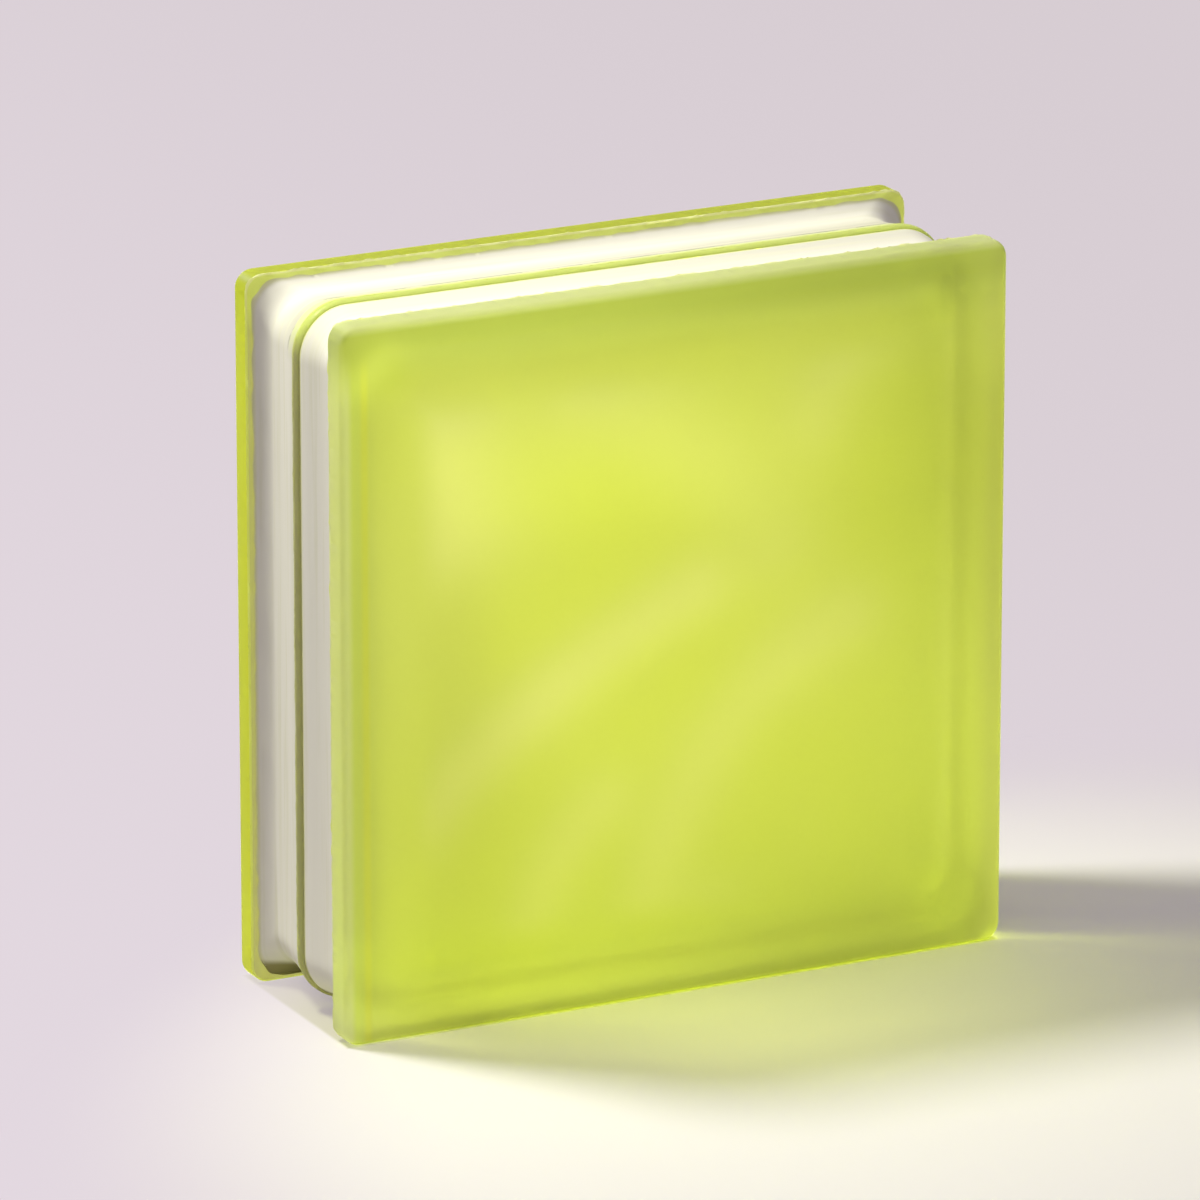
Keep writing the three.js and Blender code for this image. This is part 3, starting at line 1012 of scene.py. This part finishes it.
POOL = (0.12, -0.26, 0)  # middle of the lamp's pool of light on the floor
POOL_CLEAR = 0.27  # the paper is lit as far out as this
POOL_END = 0.42  # and has turned into the backdrop here
FLOOR_SIZE = 10
BACKDROP_ACROSS = (-0.4, 0.8)  # from its left colour to its right one
FLOOR_CONTACT = 0.8 * MM  # how far the painted contact shade on the floor reaches out in front of the block
KEY_PLACE = Vector((-0.42, 0.33, 1.04))
KEY_AIM = Vector((0.04, -0.10, 0))
KEY_POWER = 45
KEY_COLOUR = (1, 1, 0.82)
KEY_SPREAD = math.radians(48)
KEY_RADIUS = 0.11
CAMERA_AZIMUTH = math.radians(-26.8)
CAMERA_ELEVATION = math.radians(17.3)
CAMERA_DISTANCE = 3.494
CAMERA_LENS = 321.7
CAMERA_LEFT = 7.27 * MM  # how far beside the block's middle it looks
CAMERA_RAISED = 2.96 * MM


def add_onlooker(tree):
    """1 where the camera, a mirror or glass looks, 0 for light that is scattered on."""
    path = tree.nodes.new("ShaderNodeLightPath")
    mirrored = path.outputs["Is Glossy Ray"]
    bent = path.outputs["Is Transmission Ray"]
    clear = add_math(tree, "MAXIMUM", mirrored, bent)
    return add_math(tree, "MAXIMUM", path.outputs["Is Camera Ray"], clear)


def make_floor():
    """Pale paper that runs into an evenly lit backdrop round the lamp's pool of light, with
    painted shade under the block and just in front of it.
    """
    bpy.ops.mesh.primitive_plane_add(size=FLOOR_SIZE)
    floor = bpy.context.object
    floor.name = "floor"
    material = new_material("floor_paper")
    tree = material.node_tree
    onlooker = add_onlooker(tree)
    place = tree.nodes.new("ShaderNodeTexCoord")
    from_pool = tree.nodes.new("ShaderNodeVectorMath")
    from_pool.operation = "DISTANCE"
    from_pool.inputs[1].default_value = POOL
    tree.links.new(place.outputs["Object"], from_pool.inputs[0])
    far = add_range(tree, from_pool.outputs["Value"], POOL_CLEAR, POOL_END)
    x, y, _ = add_place(tree)
    beside = add_range(tree, add_math(tree, "ABSOLUTE", x, 0.0), HALF_SIDE - LIP_ROUND, HALF_SIDE)
    foot = -FACE_Y + FLOOR_CONTACT
    ahead = add_range(tree, add_math(tree, "ABSOLUTE", y, 0.0), foot - LIP_ROUND, foot)
    # Painted shade on the floor under the block and a little in front of it.
    clear = add_math(tree, "MAXIMUM", beside, ahead)
    near = mix_colours(tree, onlooker, FLOOR_BOUNCE, FLOOR_NEAR)
    paper = tree.nodes.new("ShaderNodeBsdfDiffuse")
    tree.links.new(mix_colours(tree, clear, FLOOR_SHADE_UNDER, near), paper.inputs[0])
    sideways = add_range(tree, x, *BACKDROP_ACROSS)
    backdrop = tree.nodes.new("ShaderNodeEmission")
    tree.links.new(mix_colours(tree, sideways, BACKDROP_LEFT, BACKDROP_RIGHT), backdrop.inputs[0])
    whole = mix_shaders(tree, add_math(tree, "MULTIPLY", far, onlooker), paper, backdrop)
    output = tree.nodes.new("ShaderNodeOutputMaterial")
    tree.links.new(whole.outputs[0], output.inputs[0])
    floor.data.materials.append(material)


def make_key_lamp():
    """A warm spot from behind and above on the left."""
    light = bpy.data.lights.new("key", "SPOT")
    light.energy = KEY_POWER
    light.color = KEY_COLOUR
    light.spot_size = KEY_SPREAD
    light.spot_blend = 1
    light.shadow_soft_size = KEY_RADIUS
    lamp = bpy.data.objects.new("key", light)
    lamp.location = KEY_PLACE
    lamp.rotation_mode = "QUATERNION"
    lamp.rotation_quaternion = (KEY_AIM - KEY_PLACE).to_track_quat("-Z", "Y")
    bpy.context.scene.collection.objects.link(lamp)


def make_world():
    """Soft light that is strongest from overhead, in a room as pale as the backdrop."""
    world = bpy.data.worlds.new("studio")
    world.use_nodes = True
    tree = world.node_tree
    place = tree.nodes.new("ShaderNodeTexCoord")
    split = tree.nodes.new("ShaderNodeSeparateXYZ")
    tree.links.new(place.outputs["Generated"], split.inputs[0])
    overhead = mix_colours(tree, split.outputs["Z"], SKY_LOW, SKY_HIGH)
    seen = mix_colours(tree, split.outputs["Z"], BACKDROP_LEFT, CEILING)
    room = mix_colours(tree, add_onlooker(tree), overhead, seen)
    tree.links.new(room, tree.nodes["Background"].inputs["Color"])
    bpy.context.scene.world = world


def make_camera():
    back = Vector(
        (
            math.sin(CAMERA_AZIMUTH) * math.cos(CAMERA_ELEVATION),
            -math.cos(CAMERA_AZIMUTH) * math.cos(CAMERA_ELEVATION),
            math.sin(CAMERA_ELEVATION),
        )
    )
    turn = (-back).to_track_quat("-Z", "Y")
    right = turn @ Vector((1, 0, 0))
    up = turn @ Vector((0, 1, 0))
    data = bpy.data.cameras.new("camera")
    data.lens = CAMERA_LENS
    data.sensor_width = 36
    camera = bpy.data.objects.new("camera", data)
    look_at = MIDDLE - right * CAMERA_LEFT + up * CAMERA_RAISED
    camera.location = look_at + back * CAMERA_DISTANCE
    camera.rotation_mode = "QUATERNION"
    camera.rotation_quaternion = turn
    bpy.context.scene.collection.objects.link(camera)
    bpy.context.scene.camera = camera


make_floor()
make_key_lamp()
make_world()
make_camera()
bpy.context.scene.view_settings.view_transform = "Standard"

for piece, node in ((front_shell, "front_half"), (back_shell, "back_half")):
    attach(piece, "root")
    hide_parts(node)
for piece in (front_coat, back_coat):
    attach(piece, "root")
